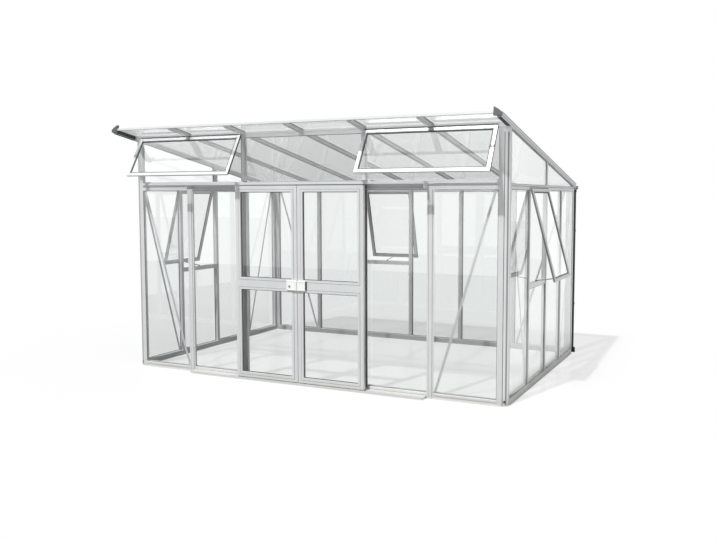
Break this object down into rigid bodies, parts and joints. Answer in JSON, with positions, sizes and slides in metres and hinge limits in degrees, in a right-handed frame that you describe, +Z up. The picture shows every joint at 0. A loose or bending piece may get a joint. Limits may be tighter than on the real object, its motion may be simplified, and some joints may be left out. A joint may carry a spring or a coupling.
{
  "type": "glass greenhouse",
  "caption": "Free-standing aluminium and glass greenhouse with a single-pitch roof, sliding double doors, open clerestory windows and open wall vents.",
  "frame": {"origin": "on the ground at the middle of the doorway, in the plane of the front wall's face", "axes": "+X along the front to the right, +Y from the front wall to the back wall, +Z up"},
  "size_m": [5.069, 3.5673, 2.809],
  "materials": {
    "aluminium": "satin anodised",
    "glass": "clear",
    "white_plastic": "smooth",
    "grey_plastic": "smooth",
    "black_plastic": "smooth"
  },
  "bodies": {
    "house": {"back_bars": "aluminium", "back_glass": "glass", "base_rails": "aluminium", "bottom_guide": "aluminium", "clerestory_bars": "aluminium", "clerestory_glass": "glass", "clerestory_sill": "aluminium", "clerestory_window_frames": "aluminium", "clerestory_window_glass": "glass", "corner_posts": "aluminium", "downpipe": "black_plastic", "eaves_beam": "aluminium", "front_bars": "aluminium", "front_glass": "glass", "front_transom": "aluminium", "gable_bars": "aluminium", "gable_glass": "glass", "gutter": "aluminium", "gutter_caps": "grey_plastic", "head_beam": "aluminium", "pipe_foot": "black_plastic", "roof_bars": "aluminium", "roof_caps": "aluminium", "roof_edge_caps": "grey_plastic", "roof_front_edge": "aluminium", "roof_glass": "glass", "side_bars": "aluminium", "side_glass": "glass", "side_transoms": "aluminium", "threshold": "aluminium", "top_track": "aluminium", "vent_sills": "aluminium", "verge_bars": "aluminium", "wall_braces": "aluminium", "wall_vent_frames": "aluminium", "wall_vent_glass": "glass"},
    "left_door": {"left_door_frame": "aluminium", "left_door_glass": "glass", "left_door_handle": "white_plastic", "left_door_runners": "grey_plastic"},
    "right_door": {"right_door_frame": "aluminium", "right_door_glass": "glass", "right_door_handle": "white_plastic", "right_door_runners": "grey_plastic"}
  },
  "joints": [
    {"name": "left_door_slide", "type": "slide", "parent": "house", "child": "left_door", "axis": [-1, 0, 0], "range_m": [0, 0.65]},
    {"name": "right_door_slide", "type": "slide", "parent": "house", "child": "right_door", "axis": [1, 0, 0], "range_m": [0, 0.65]}
  ]
}
